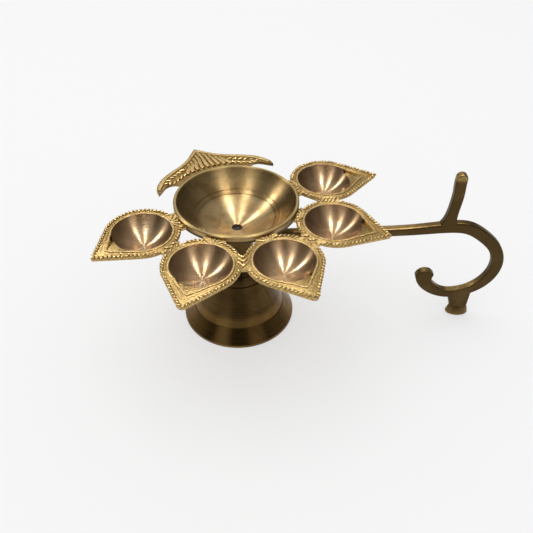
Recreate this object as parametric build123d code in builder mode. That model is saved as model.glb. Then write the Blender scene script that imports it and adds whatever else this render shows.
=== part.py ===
"""Five-cup aarti lamp in cast brass: a leaf tray, a swivelling handle and a bell foot on one stud.

Units are millimetres. The origin is on the lamp's axis at the floor, +Z is up and +X runs along the handle.
"""
import os
from math import atan2, cos, radians, sin, sqrt

from build123d import *

os.makedirs("parts", exist_ok=True)

# Stack on the axis, from the floor up
FOOT_HEIGHT = 59.5
EYE_THICK = 3.5
BOWL_FLOOR_THICK = 2.3
BOWL_DEPTH = 20.0

# Bell foot, turned outside and hollow below
FOOT_RADIUS = 34.3
FOOT_EDGE = 1.6
FOOT_WALL = 2.6
FOOT_TOP_WALL = 5.3
STEP_INSET = 6.1
STEP_HEIGHT = 10.3
STEP_NOTCH = 0.5
# Turned grooves round the cone: radius, and depth below the top of the foot
GROOVES = [(17.6, 25.8), (15.0, 19.9)]
GROOVE_ROUND = 0.5
NECK_WALL = 2.5
NECK_DROP = 6.0
COLLAR_HEIGHT = 2.0

# Clamp stud with its washer and hexagon nut inside the foot
STUD_RADIUS = 3.0
FIT = 0.05
STUD_RECESS = 1.0
STUD_TAIL = 2.0
STUD_CHAMFER = 0.5
WASHER_RADIUS = 6.0
WASHER_THICK = 1.2
NUT_FLATS = 10.0
NUT_THICK = 5.0
NUT_ROOM = 0.7

# Central bowl
BOWL_RADIUS = 35.0
RIM_WIDTH = 1.6
RIM_CHAMFER = 0.5
BOWL_WALL = 2.0
BOSS_STEP = 0.4
# A point the turned wall passes through: in from the inner edge, and below the rim
BELLY_INSET = 8.9
BELLY_DROP = 9.8
# Two fine rings left by the lathe, as parts of the way from the hole to the rim
TURNED_RINGS = [0.56, 0.635]
TURNED_RING_ROUND = 0.25

# Leaf cups round the front of the bowl
TRAY_TURN = -61.9
LEAF_STEP = 43.6
# Each leaf: number, steps from the middle leaf, turn of its tip off the radius, and rounding of the tip
LEAVES = [(1, 2, -14.6, 0.8), (2, 1, -2.8, 1.2), (3, 0, 0.0, 2.4), (4, -1, 2.8, 2.8), (5, -2, 14.6, 1.0)]
LEAF_DROP = 2.1
LEAF_THICK = 1.6
LEAF_BORDER = 4.25
BOWL_GAP = 1.0
LEAF_GAP = 1.6
TIP_BORDER = 9.05
LIP_TIP_ROUND = 1.0
CUP_RADIUS = 15.75
CUP_DEPTH = 10.3
CUP_WALL = 1.7
# A point the cup's section passes through, in shares of its radius and depth
CUP_BELLY = (0.72, 0.36)
LIP_HEIGHT = 0.4
LIP_WIDTH = 1.1
SPOUT_LENGTH = 6.0
SPOUT_DEPTH = 1.8
SPOUT_OVERLAP = 2.25
BOWL_BRIDGE_WIDTH = 11.0
END_BRIDGE_WIDTH = 15.0
LEAF_BRIDGE_LENGTH = 11.0
LEAF_BRIDGE_INSET = 4.0
BRIDGE_ROOT = 3.0

# Crest, a flat plate opposite the middle leaf
CREST_DROP = 0.9
CREST_THICK = 1.9
CREST_REACH = 26.0
CREST_HALF_WIDTH = 36.4
# Half outline from the apex round the hook to the bowl, in shares of the reach and of the half width
CREST_UPPER = [
    (1.0, 0.0),
    (0.79, 0.137),
    (0.59, 0.275),
    (0.41, 0.467),
    (0.21, 0.728),
    (-0.02, 0.907),
    (-0.25, 0.997),
]
CREST_HOOK = (-0.4, 1.0)
CREST_LOWER = [(-0.27, 0.896), (-0.16, 0.783), (-0.185, 0.66), (-0.31, 0.604)]

# Handle, a casting that is flat across: eye, bar, thumb rest, finger loop and a small foot
HANDLE_THICK = 4.8
EYE_RADIUS = 8.0
BAR_HEIGHT = 3.1
BAR_REACH = 122.0
BAR_RISE = 6.3
# The bar's line in shares of its reach and of its rise, each point with the height of the casting there
BAR_LINE = [(0.37, 0.25, 4.6), (0.7, 0.47, 5.2), (0.885, 0.81, 5.8)]
LOOP_REACH = 33.2
LOOP_DROP = 50.0
# The loop's line in shares of its reach and of its drop, each point with the width of the casting there
LOOP_LINE = [
    (0.0, -0.012, 6.6),
    (0.316, -0.002, 7.2),
    (0.611, 0.106, 7.2),
    (0.88, 0.281, 7.2),
    (1.0, 0.488, 7.2),
    (0.958, 0.698, 7.0),
    (0.759, 0.884, 6.4),
    (0.467, 0.988, 5.8),
    (0.15, 1.0, 6.0),
    (-0.1, 0.915, 7.4),
    (-0.225, 0.81, 9.0),
    (-0.248, 0.715, 11.0),
]
# How far the curl's end stands out, as a share of its width
CURL_CAP = 0.36
THUMB_THICK = 4.6
THUMB_HEIGHT = 33.5
# The thumb rest's line sideways and in shares of its height, each point with the width there
THUMB_LINE = [(-0.6, 0.265, 6.4), (0.0, 0.48, 6.0), (0.3, 0.7, 6.1), (-0.1, 1.0, 6.2)]
# Where the thumb rest's two sides rise from the bar, and the way that they leave it
THUMB_ROOT = [(-12.0, -1.0), (4.4, -0.5)]
THUMB_FLARE = [(1.0, 0.25), (-0.5, 1.0)]
# The handle's own foot, an oval knob on a flat neck: its middle past the thumb rest, the neck's outline
# sideways and in shares of its height, and the two ends of the neck that run up into the loop
PAD_THICK = 4.4
PAD_OFFSET = 17.6
PAD_OUTLINE = [(-6.4, 0.62), (-5.6, 0.45), (-4.6, 0.1), (4.6, 0.1), (5.0, 0.45), (5.2, 0.62)]
PAD_ROOT = [(-9.1, 0.0), (5.4, 1.7)]
PAD_CORNER = 1.5
KNOB_LENGTH = 14.6
KNOB_WIDTH = 9.6
KNOB_HEIGHT = 5.6
KNOB_EDGE = 1.0
# The knob's top, as shares of its length and width
KNOB_TOP = (0.8, 0.52)
HANDLE_EDGE = 1.0
# The rounding takes at most this share of the bar's height
EDGE_SHARE = 0.4

# Heights and sizes that follow from the values above
hole_radius = STUD_RADIUS + FIT
eye_top_z = FOOT_HEIGHT + EYE_THICK
bowl_floor_z = eye_top_z + BOWL_FLOOR_THICK
bowl_rim_z = bowl_floor_z + BOWL_DEPTH
leaf_top_z = bowl_rim_z - LEAF_DROP
leaf_bottom_z = leaf_top_z - LEAF_THICK
lip_z = leaf_top_z + LIP_HEIGHT
foot_wall_z = FOOT_HEIGHT - FOOT_TOP_WALL
nut_top_z = foot_wall_z - WASHER_THICK
nut_bottom_z = nut_top_z - NUT_THICK
stud_bottom_z = nut_bottom_z - STUD_TAIL
stud_top_z = bowl_floor_z - STUD_RECESS
nut_room_radius = max(WASHER_RADIUS, NUT_FLATS / sqrt(3)) + NUT_ROOM
nut_room_z = stud_bottom_z - NUT_ROOM
leaf_radius = CUP_RADIUS + LEAF_BORDER
# The leaves stand as close in as the bowl and their own neighbours allow
cup_ring_radius = max(
    BOWL_RADIUS + BOWL_GAP + leaf_radius,
    (leaf_radius + LEAF_GAP / 2) / sin(radians(LEAF_STEP / 2)),
)
spout_tip = CUP_RADIUS + SPOUT_LENGTH
leaf_tip = spout_tip + TIP_BORDER


def polar(radius, bearing):
    """Point in plan at a radius and a bearing in degrees."""
    return radius * cos(radians(bearing)), radius * sin(radians(bearing))


def ribbon(stations, side):
    """Points on one side of a band whose centre line and widths are given by its stations."""
    points = []
    for index, (x, z, width) in enumerate(stations):
        before = stations[max(index - 1, 0)]
        after = stations[min(index + 1, len(stations) - 1)]
        heading = atan2(after[1] - before[1], after[0] - before[0])
        points.append((x - side * sin(heading) * width / 2, z + side * cos(heading) * width / 2))
    return points


def teardrop(radius, tip, tip_round):
    """Round leaf outline drawn out to a point along the sketch's X."""
    Circle(radius)
    with Locations((tip - tip_round, 0)):
        Circle(tip_round)
    make_hull()


# Bell foot
step_radius = FOOT_RADIUS - STEP_INSET
neck_radius = nut_room_radius + NECK_WALL
groove_points = [(radius, FOOT_HEIGHT - drop) for radius, drop in GROOVES]
cone_lean = (step_radius - groove_points[0][0]) / (groove_points[0][1] - STEP_HEIGHT)
with BuildPart() as bell_foot:
    with BuildSketch(Plane.XZ):
        with BuildLine():
            Polyline(
                (hole_radius, foot_wall_z),
                (hole_radius, FOOT_HEIGHT),
                (EYE_RADIUS, FOOT_HEIGHT),
                (EYE_RADIUS, FOOT_HEIGHT - COLLAR_HEIGHT),
                (neck_radius, FOOT_HEIGHT - NECK_DROP),
            )
            Spline(
                (neck_radius, FOOT_HEIGHT - NECK_DROP),
                groove_points[1],
                groove_points[0],
                (step_radius - STEP_NOTCH, STEP_HEIGHT),
                tangents=[(0, -1), (cone_lean, -1)],
            )
            Polyline(
                (step_radius - STEP_NOTCH, STEP_HEIGHT),
                (step_radius, STEP_HEIGHT - STEP_NOTCH),
                (FOOT_RADIUS, FOOT_EDGE),
                (FOOT_RADIUS, 0),
                (FOOT_RADIUS - FOOT_WALL, 0),
                (step_radius - FOOT_WALL, STEP_HEIGHT),
                (groove_points[0][0] - FOOT_WALL, groove_points[0][1]),
                (nut_room_radius, nut_room_z),
                (nut_room_radius, foot_wall_z),
                (hole_radius, foot_wall_z),
            )
        make_face()
        with Locations(*groove_points):
            Circle(GROOVE_ROUND, mode=Mode.SUBTRACT)
    revolve(axis=Axis.Z)
bell_foot.part.label = "bell_foot"
export_step(bell_foot.part, "parts/bell_foot.step")

# Stud that holds the stack together, its thread left as a plain cylinder
with BuildPart() as clamp_stud:
    with BuildSketch(Plane.XY.offset(stud_bottom_z)):
        Circle(STUD_RADIUS)
    extrude(amount=stud_top_z - stud_bottom_z)
    chamfer(clamp_stud.edges().filter_by(GeomType.CIRCLE), length=STUD_CHAMFER)
clamp_stud.part.label = "clamp_stud"
export_step(clamp_stud.part, "parts/clamp_stud.step")

with BuildPart() as washer:
    with BuildSketch(Plane.XY.offset(nut_top_z)):
        Circle(WASHER_RADIUS)
        Circle(hole_radius, mode=Mode.SUBTRACT)
    extrude(amount=WASHER_THICK)
washer.part.label = "washer"
export_step(washer.part, "parts/washer.step")

with BuildPart() as clamp_nut:
    with BuildSketch(Plane.XY.offset(nut_bottom_z)):
        RegularPolygon(NUT_FLATS / 2, 6, major_radius=False)
        Circle(hole_radius, mode=Mode.SUBTRACT)
    extrude(amount=NUT_THICK)
clamp_nut.part.label = "clamp_nut"
export_step(clamp_nut.part, "parts/clamp_nut.step")

# Handle, whose limbs are rounded one by one and then joined
bar_z = FOOT_HEIGHT + BAR_HEIGHT / 2
bar_end_z = bar_z + BAR_RISE
bar_start_x = (hole_radius + EYE_RADIUS) / 2
edge_round = min(HANDLE_EDGE, EDGE_SHARE * min(BAR_HEIGHT, PAD_THICK))
stations = [(bar_start_x, bar_z, BAR_HEIGHT)]
stations += [(share * BAR_REACH, bar_z + rise * BAR_RISE, height) for share, rise, height in BAR_LINE]
stations += [
    (BAR_REACH + out * LOOP_REACH, bar_end_z - down * LOOP_DROP, width) for out, down, width in LOOP_LINE
]
curl_heading = atan2(stations[-1][1] - stations[-2][1], stations[-1][0] - stations[-2][0])
curl_way = (cos(curl_heading), sin(curl_heading))
curl_end = tuple(middle + way * CURL_CAP * stations[-1][2] for middle, way in zip(stations[-1], curl_way))
with BuildPart() as finger_loop:
    with BuildSketch(Plane.XZ.offset(-HANDLE_THICK / 2)):
        upper = ribbon(stations, 1)
        lower = ribbon(stations, -1)
        with BuildLine():
            Spline(*upper, tangents=[(1, 0), curl_way])
            ThreePointArc(upper[-1], curl_end, lower[-1])
            Spline(*lower, tangents=[(1, 0), curl_way])
            Line(lower[0], upper[0])
        make_face()
    extrude(amount=HANDLE_THICK)
    fillet(finger_loop.faces().filter_by(Axis.Y).edges().filter_by(GeomType.LINE, reverse=True), edge_round)

thumb_stations = [
    (BAR_REACH + side, bar_end_z + up * THUMB_HEIGHT, width) for side, up, width in THUMB_LINE
]
thumb_roots = [(BAR_REACH + side, bar_end_z + lift) for side, lift in THUMB_ROOT]
thumb_top = (thumb_stations[-1][0], thumb_stations[-1][1] + thumb_stations[-1][2] / 2)
with BuildPart() as thumb_rest:
    with BuildSketch(Plane.XZ.offset(-THUMB_THICK / 2)):
        left = [thumb_roots[0]] + ribbon(thumb_stations, 1)
        right = [thumb_roots[1]] + ribbon(thumb_stations, -1)
        with BuildLine():
            Spline(*left, tangents=[THUMB_FLARE[0], (0, 1)])
            ThreePointArc(left[-1], thumb_top, right[-1])
            Spline(*right, tangents=[THUMB_FLARE[1], (0, 1)])
            Line(right[0], left[0])
        make_face()
    extrude(amount=THUMB_THICK)
    fillet(thumb_rest.faces().filter_by(Axis.Y).edges().filter_by(GeomType.LINE, reverse=True), edge_round)

loop_bottom_z = bar_end_z - LOOP_DROP
pad_x = BAR_REACH + PAD_OFFSET
pad_height = loop_bottom_z - min(width for _, _, width in LOOP_LINE) / 2
pad_points = [(pad_x + side, up * pad_height) for side, up in PAD_OUTLINE]
pad_roots = [(pad_x + side, loop_bottom_z + lift) for side, lift in PAD_ROOT]
with BuildPart() as handle_pad:
    with BuildSketch(Plane.XZ.offset(-PAD_THICK / 2)) as pad_outline:
        with BuildLine():
            Polyline(pad_roots[0], *pad_points, pad_roots[1], close=True)
        make_face()
        fillet(pad_outline.vertices().sort_by(Axis.Z)[:-2], PAD_CORNER)
    extrude(amount=PAD_THICK)
    fillet(handle_pad.faces().filter_by(Axis.Y).edges().sort_by(Axis.Z)[:-2], edge_round)

with BuildPart() as handle_knob:
    with BuildSketch(Plane.XY):
        with Locations((pad_x, 0)):
            Ellipse(KNOB_LENGTH / 2, KNOB_WIDTH / 2)
    with BuildSketch(Plane.XY.offset(KNOB_HEIGHT)):
        with Locations((pad_x, 0)):
            Ellipse(KNOB_TOP[0] * KNOB_LENGTH / 2, KNOB_TOP[1] * KNOB_WIDTH / 2)
    loft()
    fillet(handle_knob.edges().sort_by(Axis.Z)[0], KNOB_EDGE)

with BuildPart() as handle:
    add(finger_loop.part)
    add(thumb_rest.part)
    add(handle_pad.part)
    add(handle_knob.part)
    with BuildSketch(Plane.XY.offset(FOOT_HEIGHT)):
        Circle(EYE_RADIUS)
    extrude(amount=EYE_THICK)
    with BuildSketch(Plane.XY.offset(FOOT_HEIGHT)):
        Circle(hole_radius)
    extrude(amount=EYE_THICK, mode=Mode.SUBTRACT)
handle.part.label = "handle"
export_step(handle.part, "parts/handle.step")

# Central bowl, with a boss below that sits on the handle's eye
inner_radius = BOWL_RADIUS - RIM_WIDTH
belly = (inner_radius - BELLY_INSET, bowl_rim_z - BELLY_DROP)
belly_lean = atan2(BELLY_DROP, BELLY_INSET)
with BuildPart() as bowl:
    with BuildSketch(Plane.XZ):
        with BuildLine():
            inner_wall = ThreePointArc((hole_radius, bowl_floor_z), belly, (inner_radius, bowl_rim_z))
            Polyline(
                (inner_radius, bowl_rim_z),
                (BOWL_RADIUS - RIM_CHAMFER, bowl_rim_z),
                (BOWL_RADIUS, bowl_rim_z - RIM_CHAMFER),
                (BOWL_RADIUS, leaf_bottom_z - RIM_CHAMFER),
            )
            ThreePointArc(
                (BOWL_RADIUS, leaf_bottom_z - RIM_CHAMFER),
                (belly[0] + BOWL_WALL * sin(belly_lean), belly[1] - BOWL_WALL * cos(belly_lean)),
                (EYE_RADIUS, eye_top_z + BOSS_STEP),
            )
            Polyline(
                (EYE_RADIUS, eye_top_z + BOSS_STEP),
                (EYE_RADIUS, eye_top_z),
                (hole_radius, eye_top_z),
                (hole_radius, bowl_floor_z),
            )
        make_face()
        with Locations(*[inner_wall @ share for share in TURNED_RINGS]):
            Circle(TURNED_RING_ROUND, mode=Mode.SUBTRACT)
    revolve(axis=Axis.Z)
bowl.part.label = "bowl"
export_step(bowl.part, "parts/bowl.step")

# Leaf cups: a flat leaf, a turned cup hung in it, and a sloping spout for the wick towards the tip
cup_bottom_z = lip_z - CUP_DEPTH
cup_belly = (CUP_BELLY[0] * CUP_RADIUS, cup_bottom_z + CUP_BELLY[1] * CUP_DEPTH)
cup_lean = atan2(CUP_BELLY[1] * CUP_DEPTH, (1 - CUP_BELLY[0]) * CUP_RADIUS)
cup_outer_belly = (cup_belly[0] + CUP_WALL * sin(cup_lean), cup_belly[1] - CUP_WALL * cos(cup_lean))
cup_clear_z = lip_z + CUP_DEPTH
far = cup_ring_radius + leaf_tip + leaf_radius
spout_start = CUP_RADIUS - SPOUT_OVERLAP
spout_end = spout_tip + LIP_TIP_ROUND
spout_floor = [(spout_start, leaf_top_z - SPOUT_DEPTH), (spout_end, lip_z)]
last_step = max(steps for _, steps, _, _ in LEAVES)
for number, steps, twist, tip_round in LEAVES:
    bearing = TRAY_TURN + steps * LEAF_STEP
    centre = Vector(*polar(cup_ring_radius, bearing), 0)
    along = Vector(*polar(1, bearing + twist), 0)
    leaf_plane = Plane(origin=centre, x_dir=along, z_dir=(0, 0, 1))
    section_plane = Plane(origin=centre, x_dir=along, z_dir=along.cross(Vector(0, 0, 1)))
    cup_axis = Axis(centre, (0, 0, 1))
    neighbours = [turn for turn in (-1, 1) if abs(steps + turn) <= last_step]
    bridge_width = BOWL_BRIDGE_WIDTH if len(neighbours) == 2 else END_BRIDGE_WIDTH
    bridge_reach = cup_ring_radius - leaf_radius - BOWL_RADIUS + 2 * BRIDGE_ROOT

    with BuildPart() as spout:
        with BuildSketch(leaf_plane.offset(cup_bottom_z)):
            teardrop(CUP_RADIUS, spout_tip, LIP_TIP_ROUND / 2)
        extrude(amount=cup_clear_z - cup_bottom_z)
        with BuildSketch(section_plane):
            with BuildLine():
                Polyline(
                    *spout_floor,
                    (spout_end, cup_clear_z),
                    (spout_start, cup_clear_z),
                    close=True,
                )
            make_face()
        extrude(amount=leaf_radius, both=True, mode=Mode.INTERSECT)

    with BuildPart() as keel:
        with BuildSketch(leaf_plane.offset(cup_bottom_z)):
            teardrop(CUP_RADIUS + CUP_WALL, spout_tip + CUP_WALL, LIP_TIP_ROUND)
        extrude(amount=leaf_top_z - cup_bottom_z)
        with BuildSketch(section_plane):
            with BuildLine():
                Polyline(
                    (0, leaf_bottom_z),
                    (spout_start, spout_floor[0][1] - CUP_WALL),
                    (spout_tip + 2 * CUP_WALL, leaf_top_z - CUP_WALL),
                    (spout_tip + 2 * CUP_WALL, leaf_top_z),
                    (0, leaf_top_z),
                    close=True,
                )
            make_face()
        extrude(amount=leaf_radius, both=True, mode=Mode.INTERSECT)

    with BuildPart() as leaf:
        with BuildSketch(leaf_plane.offset(leaf_bottom_z)):
            teardrop(leaf_radius, leaf_tip, tip_round)
        extrude(amount=LEAF_THICK)
        with BuildSketch(Plane.XY.offset(leaf_bottom_z)):
            with Locations(Location(polar(BOWL_RADIUS - BRIDGE_ROOT + bridge_reach / 2, bearing), bearing)):
                Rectangle(bridge_reach, bridge_width)
            for turn in neighbours:
                side = bearing + turn * LEAF_STEP / 2
                with Locations(Location(polar(cup_ring_radius - LEAF_BRIDGE_INSET, side), side)):
                    Rectangle(LEAF_BRIDGE_LENGTH, LEAF_GAP + 2 * BRIDGE_ROOT)
            Circle(BOWL_RADIUS, mode=Mode.SUBTRACT)
            wedge = [polar(far, bearing + turn * LEAF_STEP / 2) for turn in (-1, 1)]
            Polygon((0, 0), *wedge, align=None, mode=Mode.INTERSECT)
        extrude(amount=LEAF_THICK)
        add(keel.part)
        with BuildSketch(leaf_plane.offset(leaf_top_z)):
            teardrop(CUP_RADIUS + LIP_WIDTH, spout_tip + LIP_WIDTH, LIP_TIP_ROUND)
        extrude(amount=LIP_HEIGHT)
        with BuildSketch(section_plane):
            with BuildLine():
                ThreePointArc(
                    (0, cup_bottom_z - CUP_WALL),
                    cup_outer_belly,
                    (CUP_RADIUS + CUP_WALL, leaf_bottom_z),
                )
                Polyline(
                    (CUP_RADIUS + CUP_WALL, leaf_bottom_z),
                    (CUP_RADIUS + CUP_WALL, leaf_top_z),
                    (0, leaf_top_z),
                    (0, cup_bottom_z - CUP_WALL),
                )
            make_face()
        revolve(axis=cup_axis)
        with BuildSketch(section_plane):
            with BuildLine():
                ThreePointArc((0, cup_bottom_z), cup_belly, (CUP_RADIUS, lip_z))
                Polyline(
                    (CUP_RADIUS, lip_z),
                    (CUP_RADIUS, cup_clear_z),
                    (0, cup_clear_z),
                    (0, cup_bottom_z),
                )
            make_face()
        revolve(axis=cup_axis, mode=Mode.SUBTRACT)
        add(spout.part, mode=Mode.SUBTRACT)
    leaf.part.label = f"leaf_cup_{number}"
    export_step(leaf.part, f"parts/leaf_cup_{number}.step")

# Crest
crest_bottom_z = bowl_rim_z - CREST_DROP - CREST_THICK
crest_plane = Plane(origin=(0, 0, crest_bottom_z), x_dir=(*polar(1, TRAY_TURN + 180), 0), z_dir=(0, 0, 1))
crest_upper = [(BOWL_RADIUS + out * CREST_REACH, side * CREST_HALF_WIDTH) for out, side in CREST_UPPER]
crest_lower = [
    (BOWL_RADIUS + out * CREST_REACH, side * CREST_HALF_WIDTH) for out, side in [CREST_HOOK] + CREST_LOWER
]
with BuildPart() as crest:
    with BuildSketch(crest_plane):
        with BuildLine():
            Spline(*crest_upper)
            Line(crest_upper[-1], crest_lower[0])
            Spline(*crest_lower)
            Polyline(crest_lower[-1], (crest_lower[-1][0], 0), crest_upper[0])
        make_face()
        mirror(about=Plane.XZ)
        Circle(BOWL_RADIUS, mode=Mode.SUBTRACT)
    extrude(amount=CREST_THICK)
crest.part.label = "crest"
export_step(crest.part, "parts/crest.step")
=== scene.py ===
"""Five-cup brass aarti lamp: cast ornament, brass finishes, studio light and camera round its CAD frame."""
import math
import random

import bpy
from mathutils import Matrix, Vector


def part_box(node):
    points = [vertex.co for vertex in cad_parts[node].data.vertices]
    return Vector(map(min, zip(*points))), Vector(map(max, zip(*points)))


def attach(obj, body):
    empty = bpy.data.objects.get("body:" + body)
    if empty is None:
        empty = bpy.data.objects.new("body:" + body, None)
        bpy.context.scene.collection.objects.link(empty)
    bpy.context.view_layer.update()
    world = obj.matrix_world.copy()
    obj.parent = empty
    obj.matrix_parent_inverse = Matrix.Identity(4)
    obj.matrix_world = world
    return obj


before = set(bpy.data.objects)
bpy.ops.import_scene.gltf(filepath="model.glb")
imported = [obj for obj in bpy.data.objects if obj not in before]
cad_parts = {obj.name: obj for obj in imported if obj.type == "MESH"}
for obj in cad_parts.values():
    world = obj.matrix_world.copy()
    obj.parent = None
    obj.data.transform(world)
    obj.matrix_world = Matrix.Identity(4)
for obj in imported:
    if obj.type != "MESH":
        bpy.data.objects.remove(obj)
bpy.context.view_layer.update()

# Metres in a millimetre: lengths are in millimetres, and only those of the floor and lamps in metres
MM = 0.001

# Camera, as fitted to the photograph's picture of 533 by 533
CAMERA_PLACE = (17.27, -284.18, 283.07)
CAMERA_TILT = 41.05
CAMERA_ROLL = 0.82
PICTURE_SIDE = 533
FOCAL_PIXELS = 620
SENSOR = 36.0
NEAREST_SEEN = 10.0

# Tray, with bearings in degrees about the lamp's axis
TRAY_TURN = -61.9
CREST_TURN = TRAY_TURN + 180
LEAF_STEP = 43.6
# Each leaf: steps from the middle leaf, turn of its tip off the radius, and rounding of the tip
LEAVES = {1: (2, -14.6, 0.8), 2: (1, -2.8, 1.2), 3: (0, 0.0, 2.4), 4: (-1, 2.8, 2.8), 5: (-2, 14.6, 1.0)}
BOWL_RADIUS = 35.0
CUP_RING = 56.0
CUP_DEPTH = 10.3
LEAF_RADIUS = 20.0
LEAF_TIP = 30.8
LIP_HEIGHT = 0.4
# Arcs of the turned sections: out from the axis, with the cup's above its floor and the bowl's above its rim
CUP_ARC_CENTRE = (1.31, 15.19)
CUP_ARC_RADIUS = 15.246
BOWL_ARC_CENTRE = (-6.13, 26.96)
BOWL_ARC_RADIUS = 47.85

# Heights read from the CAD frame
rim_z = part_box("bowl")[1].z / MM
lip_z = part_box("leaf_cup_3")[1].z / MM
leaf_z = lip_z - LIP_HEIGHT
crest_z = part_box("crest")[1].z / MM

# Small unevenness of hand work, the same on each run
DRAW_SEED = 7
draw = random.Random(DRAW_SEED)


# Plan geometry

def polar(radius, bearing):
    """Point in plan at a radius and a bearing."""
    return Vector((radius * math.cos(math.radians(bearing)), radius * math.sin(math.radians(bearing)), 0))


def plan_point(bearing, out, aside, height):
    """Point out from the lamp's axis along a bearing and aside from it, at a height."""
    point = polar(out, bearing) + polar(aside, bearing + 90)
    point.z = height
    return point


def leaf_bearing(number):
    """Bearing of a leaf's cup."""
    return TRAY_TURN + LEAVES[number][0] * LEAF_STEP


def leaf_heading(number):
    """Bearing to which a leaf's tip points."""
    return leaf_bearing(number) + LEAVES[number][1]


def cup_centre(number):
    """Middle of a leaf's cup in plan."""
    return polar(CUP_RING, leaf_bearing(number))


def leaf_frame(number):
    """Matrix from a leaf's own plan, with its tip along X, to the lamp."""
    turn = Matrix.Rotation(math.radians(leaf_heading(number)), 4, "Z")
    return Matrix.Translation(cup_centre(number)) @ turn


def teardrop(radius, tip, tip_round, spacing):
    """Evenly spaced points round a leaf outline, each with the heading of the outline there."""
    reach = tip - tip_round
    lean = math.acos((radius - tip_round) / reach)
    straight = math.sqrt(reach ** 2 - (radius - tip_round) ** 2)
    lengths = [radius * 2 * (math.pi - lean), straight, tip_round * 2 * lean, straight]
    count = round(sum(lengths) / spacing)
    stations = []
    for index in range(count):
        way = index * sum(lengths) / count
        stretch = 0
        while way > lengths[stretch]:
            way -= lengths[stretch]
            stretch += 1
        if stretch == 0:
            angle = lean + way / radius
            point = Vector((radius * math.cos(angle), radius * math.sin(angle), 0))
            heading = angle + math.pi / 2
        elif stretch == 2:
            angle = -lean + way / tip_round
            point = Vector((reach + tip_round * math.cos(angle), tip_round * math.sin(angle), 0))
            heading = angle + math.pi / 2
        else:
            side = -1 if stretch == 1 else 1
            heading = math.pi / 2 + side * lean
            start_radius, start_x = (radius, 0) if stretch == 1 else (tip_round, reach)
            start = Vector((start_x + start_radius * math.cos(lean), side * start_radius * math.sin(lean), 0))
            point = start + way * Vector((math.cos(heading), math.sin(heading), 0))
        stations.append((point, heading))
    return stations


# Modelling

# Angle under which faces are smoothed, faces round a drop, and smoothness of a raised line
SMOOTH_ANGLE = 40
PEBBLE_SEGMENTS = 10
PEBBLE_RINGS = 6
STRAND_ORDER = 3
STRAND_ROUNDING = 2


def finish_mesh(piece, name, material):
    """Name a modelled mesh, put its place into its mesh, and give it its finish and its body."""
    piece.name = name
    piece.data.name = name
    bpy.ops.object.select_all(action="DESELECT")
    piece.select_set(True)
    bpy.context.view_layer.objects.active = piece
    bpy.ops.object.transform_apply(location=True, rotation=True, scale=True)
    bpy.ops.object.shade_smooth_by_angle(angle=math.radians(SMOOTH_ANGLE))
    piece.data.materials.clear()
    piece.data.materials.append(material)
    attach(piece, "tray")


def join(pieces):
    """Join several meshes into the first."""
    bpy.ops.object.select_all(action="DESELECT")
    for piece in pieces:
        piece.select_set(True)
    bpy.context.view_layer.objects.active = pieces[0]
    bpy.ops.object.join()
    return pieces[0]


def pebble(length, width, height):
    """Cast drop of metal: a ball one millimetre across, drawn out along X and pressed flat."""
    bpy.ops.object.select_all(action="DESELECT")
    bpy.ops.mesh.primitive_uv_sphere_add(segments=PEBBLE_SEGMENTS, ring_count=PEBBLE_RINGS, radius=MM / 2)
    bpy.ops.object.mode_set(mode="EDIT")
    bpy.ops.mesh.select_all(action="SELECT")
    bpy.ops.transform.resize(value=(length, width, height))
    bpy.ops.object.mode_set(mode="OBJECT")
    return bpy.context.object


def copies(model, spots):
    """Copies of one modelled mesh, each with its own mesh, joined into one piece. The model is used up."""
    made = []
    for spot in spots:
        copy = model.copy()
        copy.data = model.data.copy()
        copy.data.transform(spot)
        bpy.context.scene.collection.objects.link(copy)
        made.append(copy)
    bpy.data.objects.remove(model)
    return join(made)


def place(point, heading, lift=0.0, scale=(1, 1, 1)):
    """Matrix that puts a mesh at a point in millimetres, turned to a heading in radians."""
    spot = Matrix.Translation((point.x * MM, point.y * MM, (point.z + lift) * MM))
    return spot @ Matrix.Rotation(heading, 4, "Z") @ Matrix.Diagonal((*scale, 1))


def strand(points, radius, widths, flat, closed=False):
    """Raised line of metal along points in millimetres, pressed flat, with a width share at each point."""
    bpy.ops.object.select_all(action="DESELECT")
    bpy.ops.curve.primitive_nurbs_path_add()
    path = bpy.context.object
    path.data.splines.clear()
    spline = path.data.splines.new("NURBS")
    spline.points.add(len(points) - 1)
    base = points[0].z
    for index, point in enumerate(points):
        spline.points[index].co = (point.x * MM, point.y * MM, (point.z - base) * MM, 1)
        spline.points[index].radius = widths[index]
    spline.use_endpoint_u = not closed
    spline.use_cyclic_u = closed
    spline.order_u = STRAND_ORDER
    path.data.bevel_depth = radius * MM
    path.data.bevel_resolution = STRAND_ROUNDING
    path.data.use_fill_caps = not closed
    bpy.ops.object.convert(target="MESH")
    bpy.ops.object.mode_set(mode="EDIT")
    bpy.ops.mesh.select_all(action="SELECT")
    bpy.ops.transform.resize(value=(1, 1, flat), center_override=(0, 0, 0))
    bpy.ops.transform.translate(value=(0, 0, base * MM))
    bpy.ops.object.mode_set(mode="OBJECT")
    return bpy.context.object


# Shader parts

# Sockets of a Mix node by their order: its factor, and the pairs and results for numbers and for colours
MIX_FACTOR = 0
MIX_NUMBERS = (2, 3)
MIX_NUMBER = 0
MIX_COLOURS = (6, 7)
MIX_COLOUR = 2
# Rays by which the painted shade of hollows is sampled
SHADE_SAMPLES = 6
# What keeps only the level part of a direction
LEVEL = (1, 1, 0)


def add_node(tree, kind, inputs=None, **settings):
    """Shader node with its settings, whose inputs take plain values or other nodes' sockets."""
    made = tree.nodes.new(kind)
    for name, value in settings.items():
        setattr(made, name, value)
    for name, value in (inputs or {}).items():
        if isinstance(value, bpy.types.NodeSocket):
            tree.links.new(value, made.inputs[name])
        else:
            made.inputs[name].default_value = value
    return made


def sums(tree, operation, *values):
    """Number worked out from numbers."""
    return add_node(tree, "ShaderNodeMath", dict(enumerate(values)), operation=operation).outputs[0]


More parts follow.
